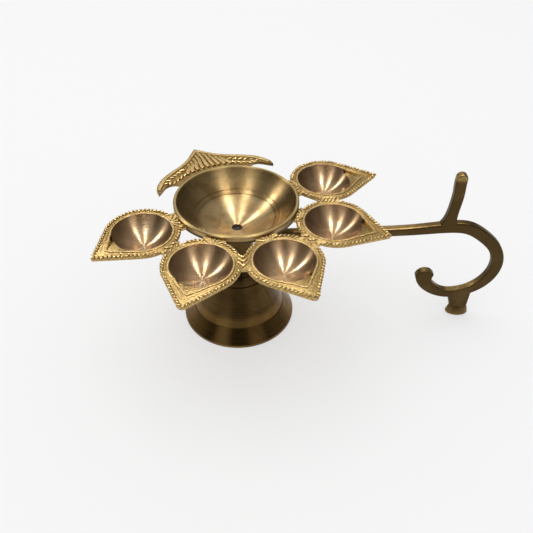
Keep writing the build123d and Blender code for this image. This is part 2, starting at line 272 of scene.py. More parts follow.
def vector_sums(tree, operation, *values):
    """Vector, length or product worked out from vectors."""
    made = add_node(tree, "ShaderNodeVectorMath", dict(enumerate(values)), operation=operation)
    return made.outputs["Value" if operation in ("LENGTH", "DOT_PRODUCT") else "Vector"]


def ramp(tree, value, span, to=(0.0, 1.0)):
    """Value carried smoothly from one range to another and held at its ends."""
    inputs = {"Value": value, 1: span[0], 2: span[1], 3: to[0], 4: to[1]}
    return add_node(tree, "ShaderNodeMapRange", inputs, interpolation_type="SMOOTHSTEP").outputs[0]


def between(tree, factor, first, second):
    """Number mixed between two numbers."""
    inputs = {MIX_FACTOR: factor, MIX_NUMBERS[0]: first, MIX_NUMBERS[1]: second}
    return add_node(tree, "ShaderNodeMix", inputs).outputs[MIX_NUMBER]


def blend(tree, factor, first, second):
    """Colour mixed between two colours."""
    inputs = {MIX_FACTOR: factor, MIX_COLOURS[0]: first, MIX_COLOURS[1]: second}
    return add_node(tree, "ShaderNodeMix", inputs, data_type="RGBA").outputs[MIX_COLOUR]


def noise(tree, spot, scale, detail=3.0, roughness=0.5):
    """Cloudy value with features about this many to the millimetre."""
    inputs = {"Vector": spot, "Scale": scale / MM, "Detail": detail, "Roughness": roughness}
    return add_node(tree, "ShaderNodeTexNoise", inputs).outputs[0]


def part_of(tree, spot, axis):
    """One part of a place, in millimetres."""
    return sums(tree, "DIVIDE", add_node(tree, "ShaderNodeSeparateXYZ", {0: spot}).outputs[axis], MM)


def painted_hollow_shade(tree, reach, span):
    """Painted shade of hollows: how open a surface lies within a reach in millimetres, 0 deep in a hollow, 1
    where nothing is near.
    """
    inputs = {"Distance": reach * MM}
    made = add_node(tree, "ShaderNodeAmbientOcclusion", inputs, samples=SHADE_SAMPLES)
    return ramp(tree, made.outputs["AO"], span)


def about_axis(tree, spot, centre):
    """Radius and height in millimetres about an upright axis, and the way out from it in the room."""
    moved = vector_sums(tree, "ADD", spot, tuple(-part * MM for part in centre))
    level = vector_sums(tree, "MULTIPLY", moved, LEVEL)
    radius = sums(tree, "DIVIDE", vector_sums(tree, "LENGTH", level), MM)
    way = add_node(tree, "ShaderNodeVectorTransform", {0: level}, convert_from="OBJECT", convert_to="WORLD")
    return radius, part_of(tree, moved, "Z"), way.outputs[0]


def from_arc_centre(tree, radius, height, centre):
    """Distance of a turned surface from the centre of the arc in its section."""
    across = sums(tree, "SUBTRACT", radius, centre[0])
    up = sums(tree, "SUBTRACT", height, centre[1])
    square = sums(tree, "MULTIPLY_ADD", across, across, sums(tree, "MULTIPLY", up, up))
    return sums(tree, "SQRT", square)


def new_group(name, inputs, outputs):
    """Empty shader node group with value sockets, and colours where a default has four parts."""
    group = bpy.data.node_groups.new(name, "ShaderNodeTree")
    for direction, sockets in (("INPUT", inputs), ("OUTPUT", outputs)):
        for socket, default in sockets.items():
            kind = "NodeSocketColor" if isinstance(default, tuple) else "NodeSocketFloat"
            made = group.interface.new_socket(socket, in_out=direction, socket_type=kind)
            made.default_value = default
    return group, group.nodes.new("NodeGroupInput").outputs, group.nodes.new("NodeGroupOutput").inputs


def use_group(tree, group, inputs):
    """Node group placed in a material with its own values."""
    return add_node(tree, "ShaderNodeGroup", inputs, node_tree=group).outputs


def new_material(name):
    """Material with a metal shader, and its tree, shader and object coordinates."""
    material = bpy.data.materials.new(name)
    material.use_nodes = True
    tree = material.node_tree
    shader = tree.nodes["Principled BSDF"]
    shader.inputs["Metallic"].default_value = 1.0
    spot = add_node(tree, "ShaderNodeTexCoord").outputs["Object"]
    return material, tree, shader, spot


def wire_shader(tree, shader, colour, rough, height, depth):
    """Colour, roughness and a bump of a depth in millimetres on a shader."""
    tree.links.new(colour, shader.inputs["Base Color"])
    tree.links.new(rough, shader.inputs["Roughness"])
    bump = add_node(tree, "ShaderNodeBump", {"Height": height, "Distance": depth * MM, "Strength": 1.0})
    tree.links.new(bump.outputs[0], shader.inputs["Normal"])


def draw_out(tree, shader, way, streak):
    """Highlights drawn out along a way, across the lathe's rings."""
    tree.links.new(way, shader.inputs["Tangent"])
    shader.inputs["Anisotropic"].default_value = streak


# Skins that several finishes share

# Cast skin: colours of its high, worn and deep places, the deep colour standing for tarnish and for painted
# shade in hollows
CAST_GOLD = (0.52, 0.345, 0.122, 1)
CAST_BRIGHT = (0.85, 0.63, 0.3, 1)
CAST_TARNISH_AND_SHADE = (0.08, 0.046, 0.014, 1)
# Its features to the millimetre, how far they shade it, and how deep they are in its bump
CAST_GRAIN = 0.9
CAST_PATCHES = 0.12
CAST_PITS = 0.85
GRAIN_SHADE = 0.85
PATCH_SHADE = 0.4
GRAIN_DEPTH = 0.6
PIT_DEPTH = 0.55
# Where relief turns from tarnish and painted shade to gold, and where relief and grain are worn bright
GOLD_SPAN = (0.0, 0.55)
WORN_SPAN = (0.55, 1.0)
WORN_GRAIN_SPAN = (0.35, 0.7)
CAST_ROUGHNESS = (0.52, 0.34)
# Nearly the whole range of a noise, and its middle part
NOISE_SPAN = (0.2, 0.8)
NOISE_MIDDLE = (0.3, 0.7)

# Lathe skin: its colours, ring pitch and features to the millimetre
LATHE_METAL = (0.5, 0.38, 0.22, 1)
LATHE_STAIN = (0.25, 0.15, 0.07, 1)
LATHE_PITCH = 0.35
LATHE_PATCHES = 0.07
LATHE_SPECKS = 0.8
STAIN_SPAN = (0.38, 0.68)
SPECK_SPAN = (0.25, 0.6)
SPECK_SHARE = (0.7, 1.0)
# Roughness from clean to stained, and what the rings add to it
LATHE_ROUGHNESS = (0.25, 0.33)
RING_ROUGHNESS = 0.08


def make_cast_skin():
    """Rough-cast brass: gold on what stands proud, brown tarnish and painted shade in what lies deep or
    hollow, with a grainy skin.
    """
    group, given, put = new_group(
        "cast_skin",
        {"Relief": 0.5, "Gold": CAST_GOLD, "Bright": CAST_BRIGHT, "Tarnish and shade": CAST_TARNISH_AND_SHADE},
        {"Colour": CAST_GOLD, "Roughness": 0.4, "Height": 0.5},
    )
    spot = add_node(group, "ShaderNodeTexCoord").outputs["Object"]
    grain = noise(group, spot, CAST_GRAIN, detail=4, roughness=0.65)
    patches = noise(group, spot, CAST_PATCHES)
    cells = add_node(group, "ShaderNodeTexVoronoi", {"Vector": spot, "Scale": CAST_PITS / MM})
    pits = cells.outputs["Distance"]
    uneven = sums(group, "MULTIPLY_ADD", sums(group, "SUBTRACT", grain, 0.5), GRAIN_SHADE, given["Relief"])
    clouded = sums(group, "MULTIPLY_ADD", sums(group, "SUBTRACT", patches, 0.5), PATCH_SHADE, uneven)
    colour = blend(group, ramp(group, clouded, GOLD_SPAN), given["Tarnish and shade"], given["Gold"])
    worn = sums(group, "MULTIPLY", ramp(group, uneven, WORN_SPAN), ramp(group, grain, WORN_GRAIN_SPAN))
    height = sums(group, "MULTIPLY_ADD", pits, PIT_DEPTH, sums(group, "MULTIPLY", grain, GRAIN_DEPTH))
    group.links.new(blend(group, worn, colour, given["Bright"]), put["Colour"])
    group.links.new(ramp(group, grain, NOISE_SPAN, CAST_ROUGHNESS), put["Roughness"])
    group.links.new(height, put["Height"])
    return group


def make_lathe_skin():
    """Turned brass: fine rings about the piece's own axis, with soft brown patches and specks."""
    group, given, put = new_group(
        "lathe_skin",
        {
            "Radius": 0.0,
            "Height of wall": 0.0,
            "Ring pitch": LATHE_PITCH,
            "Metal": LATHE_METAL,
            "Stain": LATHE_STAIN,
        },
        {"Colour": LATHE_METAL, "Roughness": 0.3, "Height": 0.5},
    )
    spot = add_node(group, "ShaderNodeTexCoord").outputs["Object"]
    across = sums(group, "DIVIDE", given["Radius"], given["Ring pitch"])
    along = sums(group, "DIVIDE", given["Height of wall"], given["Ring pitch"])
    wall = add_node(group, "ShaderNodeCombineXYZ", {"X": across, "Y": along}).outputs[0]
    # The wall is measured in ring pitches, so its noise has one feature to a ring
    rings = add_node(group, "ShaderNodeTexNoise", {"Vector": wall, "Scale": 1.0, "Detail": 2.0}).outputs[0]
    patches = noise(group, spot, LATHE_PATCHES, detail=4, roughness=0.6)
    specks = noise(group, spot, LATHE_SPECKS, detail=2)
    speckled = ramp(group, specks, SPECK_SPAN, SPECK_SHARE)
    stain = sums(group, "MULTIPLY", ramp(group, patches, STAIN_SPAN), speckled)
    dull = ramp(group, patches, NOISE_MIDDLE, LATHE_ROUGHNESS)
    rough = sums(group, "MULTIPLY_ADD", ramp(group, rings, NOISE_MIDDLE), RING_ROUGHNESS, dull)
    group.links.new(blend(group, stain, given["Metal"], given["Stain"]), put["Colour"])
    group.links.new(rough, put["Roughness"])
    group.links.new(rings, put["Height"])
    return group


cast_skin = make_cast_skin()
lathe_skin = make_lathe_skin()


# Finishes

# Cast trim: how near a neighbour paints shade on it, and the depth of its grain
CAST_HOLLOW = 1.6
CAST_HOLLOW_SPAN = (0.25, 0.85)
CAST_BUMP = 0.2
# How far the leaf's and the crest's relief goes below and above their faces, and how gold their fields are
LEAF_TRIM_SINK = 0.4
LEAF_TRIM_RISE = 0.2
LEAF_TRIM_FIELD = 0.35
CREST_TRIM_SINK = 0.02
CREST_TRIM_RISE = 0.6
CREST_TRIM_FIELD = 0.3

# Leaf: its cast face from above the cup's floor, and the cup that the lathe cut
LEAF_FACE_SPAN = (7.0, CUP_DEPTH)
LEAF_FACE_RELIEF = (0.5, 0.85)
# How enclosed a leaf's surface must be before it takes full painted shade
LEAF_HOLLOW_SPAN = (0.15, 0.7)
CUP_METAL = (0.55, 0.385, 0.22, 1)
CUP_STAIN = (0.38, 0.235, 0.125, 1)
# Distance off the cup's arc within which the surface is turned, and the share of its rings in the bump
CUP_CUT_SPAN = (0.08, 0.16)
CUP_RING_SHARE = 0.04
# How strongly the lathe's rings draw a highlight out along the radius
CUP_STREAK = 0.97
BOWL_STREAK = 0.88
FOOT_STREAK = 0.6

# Bowl: a wiped floor inside its turned rings, the wall above them, dirt and painted shade in the rings, an
# outside dark with tarnish and painted shade, and a gold rim
BOWL_WALL_SPAN = (19.5, 23.0)
BOWL_FLOOR_METAL = (0.56, 0.41, 0.21, 1)
BOWL_FLOOR_STAIN = (0.38, 0.25, 0.11, 1)
BOWL_FLOOR_DULL = 0.07
BOWL_WALL_METAL = (0.44, 0.305, 0.135, 1)
BOWL_WALL_STAIN = (0.24, 0.145, 0.055, 1)
BOWL_RING_DIRT_AND_SHADE = (0.06, 0.036, 0.014, 1)
BOWL_OUTSIDE_TARNISH_AND_SHADE = (0.075, 0.045, 0.016, 1)
BOWL_RIM_GOLD = (0.6, 0.43, 0.18, 1)
BOWL_PITCH = 0.5
BOWL_HOLLOW = 0.6
BOWL_HOLLOW_SPAN = (0.5, 0.9)
BOWL_BUMP = 0.012
# Heights about the rim: where the outside turns dark with tarnish and painted shade, and where the rim turns
# gold
OUTSIDE_SPAN = (-3.2, -2.2)
RIM_SPAN = (-0.7, -0.2)
# Distances from the arc's centre at which the outer wall lies
OUTER_WALL_SPAN = (BOWL_ARC_RADIUS + 1, BOWL_ARC_RADIUS + 1.3)

# Bell foot: a browner skirt below, a dark bell above, and grooves black with dirt and painted shade
BELL_SPAN = (13.0, 17.0)
SKIRT_METAL = (0.21, 0.12, 0.037, 1)
SKIRT_STAIN = (0.14, 0.075, 0.022, 1)
BELL_METAL = (0.1, 0.06, 0.021, 1)
BELL_STAIN = (0.07, 0.039, 0.013, 1)
FOOT_GROOVE_DIRT_AND_SHADE = (0.02, 0.012, 0.005, 1)
FOOT_PITCH = 0.8
FOOT_POLISH = 0.09
FOOT_HOLLOW = 1.5
FOOT_HOLLOW_SPAN = (0.35, 0.8)
FOOT_BUMP = 0.03

# Handle: its dark and worn brass, with features to the millimetre
HANDLE_DARK = (0.08, 0.048, 0.0165, 1)
HANDLE_WORN = (0.39, 0.26, 0.096, 1)
HANDLE_GRAIN = 0.45
HANDLE_PATCHES = 0.06
HANDLE_ROUGHNESS = (0.5, 0.36)
HANDLE_BUMP = 0.12
# Upward part of a normal from which a face counts as a top
TOP_SPAN = (0.3, 0.9)
# Wear along the bar, and by height on the loop, the foot knob and the thumb rest's tip
BAR_SPAN = (95.0, 112.0)
BAR_WEAR = (0.95, 0.3)
LOOP_SPAN = (36.0, 46.0)
LOOP_WEAR = (0.95, 0.0)
KNOB_SPAN = (2.0, 6.5)
KNOB_WEAR = (0.55, 0.0)
TIP_SPAN = (98.5, 102.0)
TIP_WEAR = (0.0, 0.85)
# How grain breaks the wear up, and how patches add to it
WEAR_GRAIN_SPAN = (0.3, 0.65)
WEAR_GRAIN_SHARE = (0.55, 1.0)
WEAR_PATCH_SPAN = (0.5, 0.75)
WEAR_PATCH_SHARE = 0.12

# Fastener steel, painted dark for the shade in the bowl's hole, with soot patches
STEEL_SHADED = (0.085, 0.08, 0.072, 1)
STEEL_SOOT = (0.045, 0.036, 0.027, 1)
STEEL_GRAIN = 1.2
STEEL_SOOT_SPAN = (0.35, 0.75)
STEEL_ROUGHNESS = (0.3, 0.5)
STEEL_BUMP = 0.03


def turned_skin(tree, radius, height, pitch, metal, stain):
    """Lathe skin about a piece's own axis."""
    wall = {"Radius": radius, "Height of wall": height, "Ring pitch": pitch}
    return use_group(tree, lathe_skin, {**wall, "Metal": metal, "Stain": stain})


def cast_brass(name, low, high, field):
    """Cast brass whose relief runs between two heights, from the field's share of gold up to full gold, with
    painted shade in its hollows.
    """
    material, tree, shader, spot = new_material(name)
    raised = ramp(tree, part_of(tree, spot, "Z"), (low, high), (field, 1.0))
    # Painted shade: hollows and crevices between parts pull the relief toward tarnish
    relief = sums(tree, "MULTIPLY", raised, painted_hollow_shade(tree, CAST_HOLLOW, CAST_HOLLOW_SPAN))
    skin = use_group(tree, cast_skin, {"Relief": relief})
    wire_shader(tree, shader, skin["Colour"], skin["Roughness"], skin["Height"], CAST_BUMP)
    return material


def leaf_brass(number):
    """Leaf finish: cast brass outside, and turned brass where the lathe cut the cup."""
    material, tree, shader, spot = new_material(f"leaf_brass_{number}")
    radius, height, way = about_axis(tree, spot, (*cup_centre(number).xy, lip_z - CUP_DEPTH))
    raised = ramp(tree, height, LEAF_FACE_SPAN, LEAF_FACE_RELIEF)
    # Painted shade: hollows pull the leaf's relief toward tarnish
    relief = sums(tree, "MULTIPLY", raised, painted_hollow_shade(tree, CAST_HOLLOW, LEAF_HOLLOW_SPAN))
    skin = use_group(tree, cast_skin, {"Relief": relief})
    turned = turned_skin(tree, radius, height, LATHE_PITCH, CUP_METAL, CUP_STAIN)
    # The cup's section is an arc: the lathe's cut is where a point lies on it
    distance = from_arc_centre(tree, radius, height, CUP_ARC_CENTRE)
    off_arc = sums(tree, "ABSOLUTE", sums(tree, "SUBTRACT", distance, CUP_ARC_RADIUS))
    cut = ramp(tree, off_arc, CUP_CUT_SPAN, (1.0, 0.0))
    colour = blend(tree, cut, skin["Colour"], turned["Colour"])
    rough = between(tree, cut, skin["Roughness"], turned["Roughness"])
    rings = sums(tree, "MULTIPLY", turned["Height"], CUP_RING_SHARE)
    wire_shader(tree, shader, colour, rough, between(tree, cut, skin["Height"], rings), CAST_BUMP)
    draw_out(tree, shader, way, CUP_STREAK)
    return material


def bowl_brass():
    """Bowl finish: turned bright inside with dirt and painted shade in its rings, gold on the rim, and left
    dark as cast outside, darkened further by painted shade.
    """
    material, tree, shader, spot = new_material("bowl_brass")
    radius, height, way = about_axis(tree, spot, (0, 0, rim_z))
    # The floor inside the turned rings is wiped paler and duller than the wall above them
    wall = ramp(tree, radius, BOWL_WALL_SPAN)
    metal = blend(tree, wall, BOWL_FLOOR_METAL, BOWL_WALL_METAL)
    stain = blend(tree, wall, BOWL_FLOOR_STAIN, BOWL_WALL_STAIN)
    skin = turned_skin(tree, radius, height, BOWL_PITCH, metal, stain)
    rough = sums(tree, "MULTIPLY_ADD", sums(tree, "SUBTRACT", 1.0, wall), BOWL_FLOOR_DULL, skin["Roughness"])
    # The wall's outside lies a wall's thickness beyond the arc that the lathe cut inside
    distance = from_arc_centre(tree, radius, height, BOWL_ARC_CENTRE)
    below_rim = ramp(tree, height, OUTSIDE_SPAN, (1.0, 0.0))
    outside = sums(tree, "MULTIPLY", ramp(tree, distance, OUTER_WALL_SPAN), below_rim)
    # Painted shade and dirt darken the turned rings and the bowl's hollows
    colour = blend(tree, painted_hollow_shade(tree, BOWL_HOLLOW, BOWL_HOLLOW_SPAN), BOWL_RING_DIRT_AND_SHADE, skin["Colour"])
    # Painted shade with tarnish: the outside below the rim, under the tray, is painted dark
    colour = blend(tree, outside, colour, BOWL_OUTSIDE_TARNISH_AND_SHADE)
    colour = blend(tree, ramp(tree, height, RIM_SPAN), colour, BOWL_RIM_GOLD)
    wire_shader(tree, shader, colour, rough, skin["Height"], BOWL_BUMP)
    draw_out(tree, shader, way, BOWL_STREAK)
    return material


def foot_brass():
    """Bell foot finish: dark tarnished brass with the lathe's rings, black with dirt and painted shade in its
    grooves.
    """
    material, tree, shader, spot = new_material("foot_brass")
    radius, height, way = about_axis(tree, spot, (0, 0, 0))
    bell = ramp(tree, height, BELL_SPAN)
    metal = blend(tree, bell, SKIRT_METAL, BELL_METAL)
    stain = blend(tree, bell, SKIRT_STAIN, BELL_STAIN)
    skin = turned_skin(tree, radius, height, FOOT_PITCH, metal, stain)
    rough = sums(tree, "SUBTRACT", skin["Roughness"], FOOT_POLISH)
    # Painted shade and dirt blacken the grooves and hollows
    colour = blend(tree, painted_hollow_shade(tree, FOOT_HOLLOW, FOOT_HOLLOW_SPAN), FOOT_GROOVE_DIRT_AND_SHADE, skin["Colour"])
    wire_shader(tree, shader, colour, rough, skin["Height"], FOOT_BUMP)
    draw_out(tree, shader, way, FOOT_STREAK)
    return material


def handle_brass():
    """Dark tarnished casting, worn to gold on the bar's top, the thumb rest's end and the lower loop."""
    material, tree, shader, spot = new_material("handle_brass")
    normal = add_node(tree, "ShaderNodeNewGeometry").outputs["Normal"]
    up = add_node(tree, "ShaderNodeSeparateXYZ", {0: normal}).outputs["Z"]
    high = part_of(tree, spot, "Z")
    grain = noise(tree, spot, HANDLE_GRAIN, detail=4, roughness=0.6)
    patches = noise(tree, spot, HANDLE_PATCHES)
    # The bar's top is worn up to the thumb rest, and the lower loop all along
    bar = ramp(tree, part_of(tree, spot, "X"), BAR_SPAN, BAR_WEAR)
    held = sums(tree, "MAXIMUM", bar, ramp(tree, high, LOOP_SPAN, LOOP_WEAR))
    wear = sums(tree, "MULTIPLY", ramp(tree, up, TOP_SPAN), held)
    wear = sums(tree, "MAXIMUM", wear, ramp(tree, high, TIP_SPAN, TIP_WEAR))
    wear = sums(tree, "MAXIMUM", wear, ramp(tree, high, KNOB_SPAN, KNOB_WEAR))
    wear = sums(tree, "MULTIPLY", wear, ramp(tree, grain, WEAR_GRAIN_SPAN, WEAR_GRAIN_SHARE))
    wear = sums(tree, "MULTIPLY_ADD", ramp(tree, patches, WEAR_PATCH_SPAN), WEAR_PATCH_SHARE, wear)
    colour = blend(tree, wear, HANDLE_DARK, HANDLE_WORN)
    wire_shader(tree, shader, colour, ramp(tree, grain, NOISE_SPAN, HANDLE_ROUGHNESS), grain, HANDLE_BUMP)
    return material


def shaded_steel():
    """Fastener steel, dark with oil and soot, and painted darker for the shade in the bowl's hole where its
    top shows.
    """
    material, tree, shader, spot = new_material("stud_steel")
    grain = noise(tree, spot, STEEL_GRAIN)
    # Both colours are painted dark: the shade in the bowl's hole, with soot patches
    colour = blend(tree, ramp(tree, grain, STEEL_SOOT_SPAN), STEEL_SHADED, STEEL_SOOT)
    wire_shader(tree, shader, colour, ramp(tree, grain, NOISE_SPAN, STEEL_ROUGHNESS), grain, STEEL_BUMP)
    return material


def dress(node, material):
    """Give a CAD node its finish."""
    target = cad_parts[node]
    target.data.materials.clear()
    target.data.materials.append(material)


leaf_metal = cast_brass("cast_brass_leaf", leaf_z - LEAF_TRIM_SINK, lip_z + LEAF_TRIM_RISE, LEAF_TRIM_FIELD)
crest_metal = cast_brass(
    "cast_brass_crest", crest_z - CREST_TRIM_SINK, crest_z + CREST_TRIM_RISE, CREST_TRIM_FIELD
)
shaded_fastener_metal = shaded_steel()
for number in LEAVES:
    dress(f"leaf_cup_{number}", leaf_brass(number))
dress("crest", crest_metal)
dress("bowl", bowl_brass())
dress("bell_foot", foot_brass())
dress("handle", handle_brass())
for node in ("clamp_stud", "washer", "clamp_nut"):
    dress(node, shaded_fastener_metal)


# Leaf ornament

# Rope round a leaf: spacing and slant of its twists, their length, width and height, and how they vary
ROPE_PITCH = 2.1
ROPE_INSET = 0.75
ROPE_LEAN = 42
ROPE_TWIST = (3.1, 1.6, 2.2)
ROPE_LEAST_ROUND = 0.4
ROPE_LEAN_VARIES = (-6, 6)
ROPE_SIZE_VARIES = (0.88, 1.1)
ROPE_LIFT_VARIES = (-0.25, -0.1)
# Raised lines inside the rope, the cup's lip first: radius, tip, thickness, and lift above the leaf
LIP_RADIUS = 16.35
LEAF_LINES = ((LIP_RADIUS, 22.6, 0.5, 0.24), (17.85, 25.6, 0.3, -0.06))
LINE_TIP_ROUND = 0.8
LINE_SPACING = 1.5
LINE_FLAT = 0.75
LINE_WANDERS = (-0.08, 0.08)
LINE_WIDTH_VARIES = (0.85, 1.15)
# Bridges from the leaves to the bowl, and between leaves, where the ropes stop
BRIDGE_HALF_WIDTH = {1: 7.0, 2: 5.2, 3: 5.2, 4: 5.2, 5: 7.0}
MIDDLE_HALF_WIDTH = BRIDGE_HALF_WIDTH[3]
BRIDGE_REACH = 6
LEAF_BRIDGE_HALF_WIDTH = 2.6
LEAF_BRIDGE_FROM = 45.5
LEAF_BRIDGE_TO = 58
# Lift of ribs and of drops above the leaf
RIB_LIFT = 0.15
DROP_LIFT = 0.1
# Fan on a bowl bridge: turn from rib to rib, slant that lengthens the outer ones, step aside, gaps and form
FAN_TURN = 27
FAN_SLANT = 24
FAN_STEP = 0.75
FAN_ROOT_GAP = 0.6
FAN_END_GAP = 0.9
FAN_RADIUS = 0.72
FAN_WIDTHS = (0.7, 1.1, 0.9)
FAN_FLAT = 0.85
# Chevrons: first place and step outwards, form of one as aside and outwards, and width shares along it
CHEVRONS = 3
CHEVRON_START = 47.8
CHEVRON_STEP = 3.1
CHEVRON_FORM = ((-2.3, -2.0), (-1.2, -0.8), (0, 0.9), (1.2, -0.8), (2.3, -2.0))
CHEVRON_RADIUS = 0.62
CHEVRON_WIDTHS = (0.8, 1, 1.15, 1, 0.8)
CHEVRON_FLAT = 0.9
# Sprig: each cast leaf's place outwards and aside, its turn and its size
SPRIG = (
    (46.6, 0.0, 0, 0.8), (48.6, 1.3, 38, 1.0), (48.8, -1.3, -38, 1.0), (51.2, 0.0, 0, 1.15),
    (53.4, 1.5, 48, 1.0), (53.6, -1.4, -48, 1.0), (55.4, 0.1, 0, 0.85),
)
SPRIG_LEAF = (3.0, 1.35, 1.5)
# Short ropes: rows aside, twists in a row, their first place and pitch outwards, stagger, slant and form
SHORT_ROPE_ROWS = (-1.25, 1.25)
SHORT_ROPE_TWISTS = 5
SHORT_ROPE_START = 46.8
SHORT_ROPE_PITCH = 2.1
SHORT_ROPE_STAGGER = 0.4
SHORT_ROPE_LEAN = 45
SHORT_ROPE_TWIST = (2.7, 1.25, 1.5)


def on_bridge(number, point):
    """Whether a point on a leaf's edge lies on one of the bridges to the bowl or to the next leaves."""
    radius = point.xy.length
    bearing = math.degrees(math.atan2(point.y, point.x))
    off = (bearing - leaf_bearing(number) + 180) % 360 - 180
    for turn in (-1, 1):
        aside = math.radians(off - turn * LEAF_STEP / 2) * radius
        within = abs(aside) < LEAF_BRIDGE_HALF_WIDTH and LEAF_BRIDGE_FROM < radius < LEAF_BRIDGE_TO
        if within and number - turn in LEAVES:
            return True
    return radius < BOWL_RADIUS + BRIDGE_REACH and abs(math.radians(off)) * radius < BRIDGE_HALF_WIDTH[number]


def leaf_rope(number):
    """Twisted rope cast round a leaf's edge, left out where the bridges join."""
    to_lamp = leaf_frame(number)
    spots = []
    tip_round = max(LEAVES[number][2] - ROPE_INSET, ROPE_LEAST_ROUND)
    for point, heading in teardrop(LEAF_RADIUS - ROPE_INSET, LEAF_TIP - ROPE_INSET, tip_round, ROPE_PITCH):
        spot = to_lamp @ point
        if on_bridge(number, spot):
            continue
        turn = heading + math.radians(leaf_heading(number) + ROPE_LEAN + draw.uniform(*ROPE_LEAN_VARIES))
        size = [draw.uniform(*ROPE_SIZE_VARIES) for _ in range(3)]
        spots.append(place(spot + Vector((0, 0, leaf_z)), turn, draw.uniform(*ROPE_LIFT_VARIES), size))
    finish_mesh(copies(pebble(*ROPE_TWIST), spots), f"leaf_rope_{number}", leaf_metal)


def leaf_lines(number):
    """The two fine raised lines inside a leaf's rope: the cup's lip and a thinner one round it."""
    to_lamp = leaf_frame(number)
    made = []
    for radius, tip, thick, lift in LEAF_LINES:
        outline = teardrop(radius, tip, LINE_TIP_ROUND, LINE_SPACING)
        shifts = [Vector((draw.uniform(*LINE_WANDERS), draw.uniform(*LINE_WANDERS), 0)) for _ in outline]
        raised = Vector((0, 0, leaf_z + lift))
        points = [to_lamp @ point + shift + raised for (point, _), shift in zip(outline, shifts)]
        widths = [draw.uniform(*LINE_WIDTH_VARIES) for _ in points]
        made.append(strand(points, thick, widths, LINE_FLAT, closed=True))
    finish_mesh(join(made), f"leaf_lines_{number}", leaf_metal)


def bowl_bridge_fan(number):
    """Fan of ribs on the bridge between a leaf and the bowl."""
    bearing = leaf_bearing(number)
    root = polar(CUP_RING - LIP_RADIUS - FAN_ROOT_GAP, bearing)
    spread = BRIDGE_HALF_WIDTH[number] / MIDDLE_HALF_WIDTH
    ribs = []
    for step in (-2, -1, 0, 1, 2):
        reach = (CUP_RING - LIP_RADIUS - BOWL_RADIUS - FAN_END_GAP) / math.cos(math.radians(step * FAN_SLANT))
        start = root + polar(1, bearing + 90) * (-step * FAN_STEP * spread)
        end = start + polar(reach, bearing + 180 + step * FAN_TURN)
        points = [start, (start + end) / 2, end]
        for point in points:
            point.z = leaf_z + RIB_LIFT
        ribs.append(strand(points, FAN_RADIUS, FAN_WIDTHS, FAN_FLAT))
    finish_mesh(join(ribs), f"bowl_bridge_fan_{number}", leaf_metal)


def chevron_bridge(name, bearing):
    """Three nested chevrons on a bridge between two leaves, their points outwards."""
    ribs = []
    for step in range(CHEVRONS):
        out = CHEVRON_START + CHEVRON_STEP * step
        points = [plan_point(bearing, out + ahead, aside, leaf_z + RIB_LIFT) for aside, ahead in CHEVRON_FORM]
        ribs.append(strand(points, CHEVRON_RADIUS, CHEVRON_WIDTHS, CHEVRON_FLAT))
    finish_mesh(join(ribs), name, leaf_metal)


def sprig_bridge(name, bearing):
    """Small spray of cast leaves on a bridge between two leaves."""
    spots = []
    for out, aside, turn, size in SPRIG:
        point = plan_point(bearing, out, aside, leaf_z)
        spots.append(place(point, math.radians(bearing + turn), DROP_LIFT, (size, size, size)))
    finish_mesh(copies(pebble(*SPRIG_LEAF), spots), name, leaf_metal)


def rope_bridge(name, bearing):
    """Short lengths of slanting rope on a bridge between two leaves."""
    spots = []
    for row in SHORT_ROPE_ROWS:
        for step in range(SHORT_ROPE_TWISTS):
            out = SHORT_ROPE_START + SHORT_ROPE_PITCH * step + SHORT_ROPE_STAGGER * row
            point = plan_point(bearing, out, row, leaf_z)
            spots.append(place(point, math.radians(bearing + SHORT_ROPE_LEAN), DROP_LIFT))
    finish_mesh(copies(pebble(*SHORT_ROPE_TWIST), spots), name, leaf_metal)


for number in LEAVES:
    leaf_rope(number)
    leaf_lines(number)
    bowl_bridge_fan(number)
rope_bridge("leaf_bridge_1_2", TRAY_TURN + 1.5 * LEAF_STEP)
sprig_bridge("leaf_bridge_2_3", TRAY_TURN + 0.5 * LEAF_STEP)
chevron_bridge("leaf_bridge_3_4", TRAY_TURN - 0.5 * LEAF_STEP)
sprig_bridge("leaf_bridge_4_5", TRAY_TURN - 1.5 * LEAF_STEP)


# Crest ornament

# Middle of the raised edge from the apex to a hook: sideways and out from the lamp's axis
CREST_EDGE = [(0.0, 58.6), (4.1, 54.2), (9.2, 49.0), (16.3, 44.4), (25.6, 39.3), (32.0, 33.4), (35.2, 27.5)]
CREST_EDGE_WIDTHS = (1.0, 1.0, 1.0, 1.0, 1.15, 1.5, 0.8)
CREST_EDGE_RADIUS = 1.15
CREST_EDGE_FLAT = 0.6
# Feather flutes: count each side of the middle one, and steps sideways at the raised edge and at the rim
FLUTES_ASIDE = 4
FLUTE_HEAD_STEP = 2.55
FLUTE_FOOT_STEP = 3.4
# Gap from the raised edge, and radius about the lamp's axis at which the flutes end
FLUTE_GAP = 2.1
FLUTE_FOOT = 38.2
# The two bends of a flute: aside from its head and from its foot, and share of the way down
FLUTE_UPPER_BEND = (-0.7, 0.35)
FLUTE_LOWER_BEND = (0.5, 0.78)
FLUTE_RADIUS = 1.4
FLUTE_WIDTHS = (0.5, 0.9, 1.05, 0.9)
FLUTE_FLAT = 0.75
# Where the hooks leave the bowl, sideways, and how far out their inner edge then lies
HOOK_START = 22.5
HOOK_INNER = 30.2
# Sprays: leaves along an arm, their places sideways, slope of the arm, and the leaf's form and variation
SPRAY_LEAVES = 6
SPRAY_START = 15.6
SPRAY_STEP = 2.75
ARM_SLOPE = 30
SPRAY_LEAF = (5.0, 2.1, 1.9)
SPRAY_SIZE_VARIES = (0.92, 1.08)
# Upper row: gap from the raised edge, turn off the arm, and how much smaller each leaf is than the last
UPPER_GAP = 3.6
UPPER_TURN = -38
UPPER_SHRINK = 0.06
